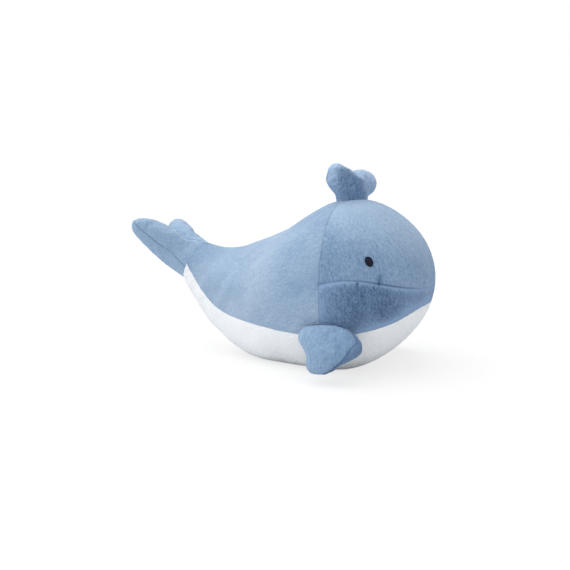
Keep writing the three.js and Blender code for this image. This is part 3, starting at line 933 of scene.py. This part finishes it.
def limb_rows(ribs):
    """A limb's ribs with the rows before its root and past its tip that round them off."""
    root, tip, near_tip = ribs[0], ribs[-1], ribs[-2]
    before = (2 * root[0] - ribs[1][0], *root[1:])
    past = (near_tip[0], 2 * tip[1] - near_tip[1], *[-v for v in near_tip[2:]])
    return [before, *ribs, past]


fin_rows = limb_rows(FIN_RIBS)
FIN_FACE = FIN_ACROSS.cross(FIN_OUT)
fin_toward_body = FIN_FACE if FIN_FACE.y > 0 else -FIN_FACE


def on_fin(t, turn):
    reach, centre, half, thick = between(fin_rows, t)
    spot = FIN_ACROSS * (centre + half * math.cos(turn))
    spot += FIN_OUT * (reach - FIN_ROOT_RADIUS) + FIN_FACE * (thick * math.sin(turn))
    return FIN_AXIS + (spot + fin_toward_body * FIN_PRESS) * MM


def sewn_pair(bm, middle, normal):
    """Parts a limb's cover in two panels on the plane of its edge seam: 1 on the normal's side."""
    parted(bm, bm.faces, middle, normal, LIMB_SNAP)
    bmesh.ops.remove_doubles(bm, verts=bm.verts, dist=LIMB_MERGE * MM)
    for f in bm.faces:
        f.material_index = 1 if (f.calc_center_median() - middle).dot(normal) > 0 else 0
    # A face that stands out of its panel like a tooth goes to the other panel
    for _ in range(3):
        for f in bm.faces:
            beside = [n.material_index for e in f.edges for n in e.link_faces]
            if beside.count(1 - f.material_index) > len(f.edges) / 2:
                f.material_index = 1 - f.material_index


def limb_seam(pair, spot):
    return LIMB_ROOT if len(pair) == 1 else LIMB_EDGE


# The fin's front part is painted darker as shade
FIN_PLUSH = plush(
    "blue_plush_fin", tint(163, 188, 215), tint(106, 137, 173), 0.4, side_tone=-0.3)
# The inner panels take a darker plush, partly for their pile and partly as painted shade between
# fin and body
UNDER_PLUSH = plush("blue_plush_under", tint(126, 152, 185), tint(72, 98, 134), 0.3)


def limb_panels(bm, names, nodes, cloths):
    """The two panels of a limb."""
    for index, (name, node, cloth) in enumerate(zip(names, nodes, cloths)):
        piece = panel(bm, index, name, cloth, None, "blue_plush")
        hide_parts(node)
        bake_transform(piece)


fin = evenly_meshed(form(on_fin, 0, len(FIN_RIBS) - 1, 60, 40), LIMB_CELL)
fin_middle = FIN_AXIS + fin_toward_body * FIN_PRESS * MM


def fin_front(v):
    """How far a point lies toward the fin's front edge, which the fin plush paints darker as shade.
    """
    return min(max((v.co - fin_middle).dot(FIN_ACROSS) / (FIN_FRONT * MM), 0), 1)


def seam_lift(spot):
    """How far the edge seam is lifted off the fin's middle plane at a point of it."""
    local = (spot - fin_middle) / MM
    place = Vector((local.dot(FIN_ACROSS), local.dot(FIN_OUT) + FIN_ROOT_RADIUS)) - FIN_CORNER
    inward = -place.cross(FIN_EDGE)
    share = min(max((FIN_LIFT_DEEP - abs(inward)) / FIN_LIFT_FADE, 0), 1)
    lift = np.interp(place.dot(FIN_EDGE), *zip(*FIN_SEAM_LIFT))
    return fin_toward_body * (share * lift * MM)


for v in fin.verts:
    v.co += seam_lift(v.co)
sewn_pair(fin, fin_middle, fin_toward_body)
for v in fin.verts:
    v.co -= seam_lift(v.co)
eased(fin)
smoothed(fin, [v for v in fin.verts if len(panels_at(v)) == 1])
stuffed(fin, LIMB_SWELL)
fin_fill = fin.copy()
fin = rounded(fin)
dressed(fin, limb_seam, LIMB_LUMPS, lambda spot: FIN_OUT, side_tone=fin_front)
fin_start = FIN_AXIS + FIN_OUT * FIN_BEND_START * MM
fin_end = FIN_AXIS + FIN_OUT * FIN_BEND_END * MM
for side, cloth, fill, turn in [
    ("right", fin, fin_fill, Vector), ("left", mirrored(fin), mirrored(fin_fill), flipped),
]:
    bend = turn(fin_start), turn(fin_end)
    limb_panels(
        cloth, [f"{side}_fin_outer_plush", f"{side}_fin_inner_plush"],
        [f"{side}_fin_outer_panel", f"{side}_fin_inner_panel"], [FIN_PLUSH, UNDER_PLUSH],
    )
    filling(
        fill, LIMB_FILL_DEPTH, f"{side}_fin_fibre", f"{side}_fin_stuffing", f"{side}_fin", bend)


# Flukes
# Two stuffed plush lobes sewn into the open end of the tail, side by side. Each is an
# upper and a lower panel joined by an edge seam, which runs on from the belly seam.
RIGHT_FLUKE_RISE, LEFT_FLUKE_RISE = math.radians(43), math.radians(36.5)
FLUKE_AXIS_REACH = 19.3
FLUKE_AXIS = TAIL_MIDDLE + TAIL_OUT * FLUKE_AXIS_REACH * MM
# Along, centre, outer half width, inner half width, half thickness, inner power
FLUKE_RIBS = [
    (-5, 1.3, 16.6, 1.1, 21, 9), (0, 1.3, 17.2, 1.1, 21.6, 9), (6, 2.6, 17, 2.4, 21, 7),
    (19, 11, 11, 10.6, 19.4, 3), (34, 17, 15, 14.5, 17.8, 2.1), (49, 24, 15.6, 15, 14, 2),
    (60, 31.2, 12.4, 12, 9.6, 2), (68, 36.5, 0, 0, 0, 2),
]
FLUKE_SEAM_RISE = math.radians(3)
FLUKE_CURVE, FLUKE_POWER, FLUKE_BEND_END = 26, 2.2, 14


def fluke_rows(ribs):
    rows = limb_rows(ribs)
    return [*rows[:-1], (*rows[-1][:-1], ribs[-1][-1])]


fluke_spots = fluke_rows(FLUKE_RIBS)
tail_rise = math.atan2(TAIL_OUT.z, -TAIL_OUT.x)


def fluke_way(rise):
    return Vector((-math.cos(rise), 0, math.sin(rise)))


def fluke_place(full_rise):
    """Where a right-hand fluke's points lie when it rises by an angle."""
    def on_fluke(t, turn):
        reach, centre, outer, inner, thick, power = between(fluke_spots, t)
        share = min(max(reach / FLUKE_CURVE, 0), 1)
        rise = tail_rise + (full_rise - tail_rise) * share * share * (3 - 2 * share)
        up = Vector((math.sin(rise), 0, math.cos(rise)))
        out = math.cos(turn)
        half, power = (outer, FLUKE_POWER) if out > 0 else (inner, power)
        across = centre + half * powered(out, power)
        height = thick * powered(math.sin(turn), power)
        if reach < FLUKE_AXIS_REACH:
            middle = TAIL_MIDDLE + TAIL_OUT * reach * MM
        else:
            middle = FLUKE_AXIS + fluke_way(full_rise) * (reach - FLUKE_AXIS_REACH) * MM
        return middle + (Vector((0, -1, 0)) * across + up * height) * MM
    return on_fluke


# The fluke is painted lighter by the tail seam as a highlight, and on its upward faces as lit from
# above
FLUKE_PLUSH = plush(
    "blue_plush_fluke", tint(170, 193, 217), tint(126, 156, 190), 0.4, rim=0.5, top_light=0.3)
for side, rise, turn in [
    ("right", RIGHT_FLUKE_RISE, Vector), ("left", LEFT_FLUKE_RISE, flipped),
]:
    fluke = evenly_meshed(form(fluke_place(rise), 0, len(FLUKE_RIBS) - 1, 70, 44), LIMB_CELL)
    seam_rise = rise + FLUKE_SEAM_RISE
    sewn_pair(fluke, FLUKE_AXIS, Vector((math.sin(seam_rise), 0, math.cos(seam_rise))))
    stuffed(fluke, LIMB_SWELL)
    fluke_fill = fluke.copy()
    fluke = rounded(fluke)
    dressed(fluke, limb_seam, LIMB_LUMPS, lambda spot: fluke_way(rise))
    if side == "left":
        fluke, fluke_fill = mirrored(fluke), mirrored(fluke_fill)
    bend = turn(TAIL_MIDDLE), turn(FLUKE_AXIS + fluke_way(rise) * FLUKE_BEND_END * MM)
    limb_panels(
        fluke, [f"{side}_fluke_lower_plush", f"{side}_fluke_upper_plush"],
        [f"{side}_fluke_lower_panel", f"{side}_fluke_upper_panel"], [FLUKE_PLUSH, FLUKE_PLUSH],
    )
    filling(
        fluke_fill, LIMB_FILL_DEPTH, f"{side}_fluke_fibre", f"{side}_fluke_stuffing",
        f"{side}_fluke", bend,
    )


# Spout
# Two lobes on one stalk, cut as a front and a back panel of plush, stuffed and sewn
# down on the top of the head where the head seam runs under it.
SPOUT_X = HEAD_SEAM_X
SPOUT_AXIS_Z = 168.3
SPOUT_FOOT_Z = 155.3
SPOUT_TURN = math.radians(13)
STALK_THICK, STALK_WIDE, STALK_TALL, STALK_RISE = 12, 17.4, 28, 5
SPOUT_CELL = 3
SPOUT_BEND_LOW, SPOUT_BEND_HIGH = 154, 176
# The spout's seams in the body's terms: a little shade painted in them and a painted highlight band
# beside them
SPOUT_SEAM = (0.5, 0.1, 0.6, 6)
# The left lobe is coloured lighter: where that starts across the spout, and its fade
LEFT_LOBE_START, LEFT_LOBE_FADE = -4, 14
# Balls that each lobe is drawn tight over: place as ahead, out and up, and radius
SPOUT_LOBES = [
    [((0, -24.5, 24.4), 8), ((0, -25, 17), 9), ((0, -10, 6.5), 9), ((0, 0, 15.4), 9.6)],
    [((0, 20.4, 13.6), 12), ((0, 12.5, 17), 10.6), ((0, 0, 11), 9)],
]
# The spout is painted lighter around its edges as a sheen and on its top as lit from above
SPOUT_PLUSH = plush(
    "blue_plush_spout", tint(170, 195, 224), tint(74, 104, 145), 0.35,
    rim=1.1, top_light=0.75, side_tone=0.5, brushed=-0.28)

spout = bmesh.new()
stalk = bmesh.ops.create_cone(
    spout, cap_ends=True, segments=48, radius1=1, radius2=1, depth=1)["verts"]
bmesh.ops.scale(spout, vec=Vector((STALK_THICK, STALK_WIDE, STALK_TALL)), verts=stalk)
bmesh.ops.translate(spout, vec=Vector((0, 0, STALK_RISE)), verts=stalk)
for balls in SPOUT_LOBES:
    lobe = []
    for middle, radius in balls:
        ball = bmesh.ops.create_uvsphere(
            spout, u_segments=32, v_segments=16, radius=radius)["verts"]
        bmesh.ops.translate(spout, vec=Vector(middle), verts=ball)
        lobe += ball
    skins = list({f for v in lobe for f in v.link_faces})
    bmesh.ops.delete(spout, geom=skins, context="FACES_ONLY")
    drawn = bmesh.ops.convex_hull(spout, input=lobe)
    inner = drawn["geom_interior"] + drawn["geom_unused"]
    spare = [v for v in inner if isinstance(v, bmesh.types.BMVert)]
    bmesh.ops.delete(spout, geom=spare, context="VERTS")
bmesh.ops.rotate(spout, matrix=Matrix.Rotation(-SPOUT_TURN, 3, "Z"), verts=spout.verts)
bmesh.ops.translate(spout, vec=Vector((SPOUT_X, 0, SPOUT_FOOT_Z)), verts=spout.verts)
bmesh.ops.scale(spout, vec=Vector((MM, MM, MM)), verts=spout.verts)
spout = evenly_meshed(spout, SPOUT_CELL)
for _ in range(2):
    smoothed(spout, spout.verts)


def spout_seam(pair, spot):
    return SPOUT_SEAM


def left_lobe(v):
    return min(max((v.co.y / MM - LEFT_LOBE_START) / LEFT_LOBE_FADE, 0), 1)


spout_axis = Vector((SPOUT_X, 0, SPOUT_AXIS_Z)) * MM
sewn_pair(spout, spout_axis, Vector((math.cos(SPOUT_TURN), -math.sin(SPOUT_TURN), 0)))
stuffed(spout, LIMB_SWELL)
spout_fill = spout.copy()
spout = rounded(spout)
dressed(
    spout, spout_seam, LIMB_LUMPS, lambda spot: Vector((0, 0, 1)), stretch=0.3, side_tone=left_lobe)
spout_bend = [Vector((SPOUT_X, 0, z)) * MM for z in (SPOUT_BEND_LOW, SPOUT_BEND_HIGH)]
limb_panels(
    spout, ["spout_back_plush", "spout_front_plush"], ["spout_back_panel", "spout_front_panel"],
    [SPOUT_PLUSH, SPOUT_PLUSH],
)
filling(spout_fill, LIMB_FILL_DEPTH, "spout_fibre", "spout_stuffing", "spout", spout_bend)


# Stage and light
# A plain white floor, a broad soft lamp high on the tail side, and even light around.
FILL_LIGHT = 0.66
KEY_LIGHT = 2.2
KEY_WAY = (0.36, 0.24, -0.9)
GROUND_GLOW, GROUND_SHARE = 1.03, 0.7


def white_ground(nodes, links):
    """1 for the rays that show the white ground, and 0 for the rays that light by it."""
    path = nodes.new("ShaderNodeLightPath")
    rays = path.outputs["Is Camera Ray"]
    for kind in ("Is Glossy Ray", "Is Transmission Ray"):
        rays = value_of(nodes, links, "ADD", rays, path.outputs[kind])
    return value_of(nodes, links, "MINIMUM", rays, 1)


floor_mesh = bpy.data.meshes.new("floor")
floor_bm = bmesh.new()
bmesh.ops.create_grid(floor_bm, x_segments=1, y_segments=1, size=12)
floor_bm.to_mesh(floor_mesh)
floor_bm.free()
floor = bpy.data.objects.new("floor", floor_mesh)
scene.collection.objects.link(floor)
paper = bpy.data.materials.new("white_paper")
paper.use_nodes = True
nodes, links = paper.node_tree.nodes, paper.node_tree.links
sheet = nodes["Principled BSDF"]
sheet.inputs["Base Color"].default_value = (0.82, 0.82, 0.82, 1)
sheet.inputs["Roughness"].default_value = 1
sheet.inputs["Specular IOR Level"].default_value = 0
glow = nodes.new("ShaderNodeEmission")
glow.inputs["Strength"].default_value = GROUND_GLOW
share = value_of(nodes, links, "MULTIPLY", white_ground(nodes, links), GROUND_SHARE)
blend = nodes.new("ShaderNodeMixShader")
links.new(share, blend.inputs["Fac"])
links.new(sheet.outputs[0], blend.inputs[1])
links.new(glow.outputs[0], blend.inputs[2])
links.new(blend.outputs[0], nodes["Material Output"].inputs["Surface"])
floor_mesh.materials.append(paper)

world = bpy.data.worlds.new("studio")
scene.world = world
world.use_nodes = True
nodes, links = world.node_tree.nodes, world.node_tree.links
around = nodes["Background"]
around.inputs["Color"].default_value = (1, 1, 1, 1)
level = value_of(nodes, links, "MULTIPLY_ADD", white_ground(nodes, links), 1 - FILL_LIGHT)
level.node.inputs[2].default_value = FILL_LIGHT
links.new(level, around.inputs["Strength"])

key = bpy.data.lights.new("key", "SUN")
key.energy = KEY_LIGHT
key.angle = math.radians(80)
key_lamp = bpy.data.objects.new("key", key)
key_lamp.rotation_euler = Vector(KEY_WAY).to_track_quat("-Z", "Y").to_euler()
scene.collection.objects.link(key_lamp)

camera_data = bpy.data.cameras.new("camera")
camera_data.lens = 44.84
camera_data.sensor_width = 36
camera = bpy.data.objects.new("camera", camera_data)
camera.location = (0.2784, -0.6126, 0.165)
heading, pitch = math.radians(27), math.radians(7.8)
aim = Vector((
    -math.sin(heading) * math.cos(pitch), math.cos(heading) * math.cos(pitch), -math.sin(pitch)
))
camera.rotation_euler = aim.to_track_quat("-Z", "Y").to_euler()
scene.collection.objects.link(camera)
scene.camera = camera
scene.view_settings.view_transform = "Standard"
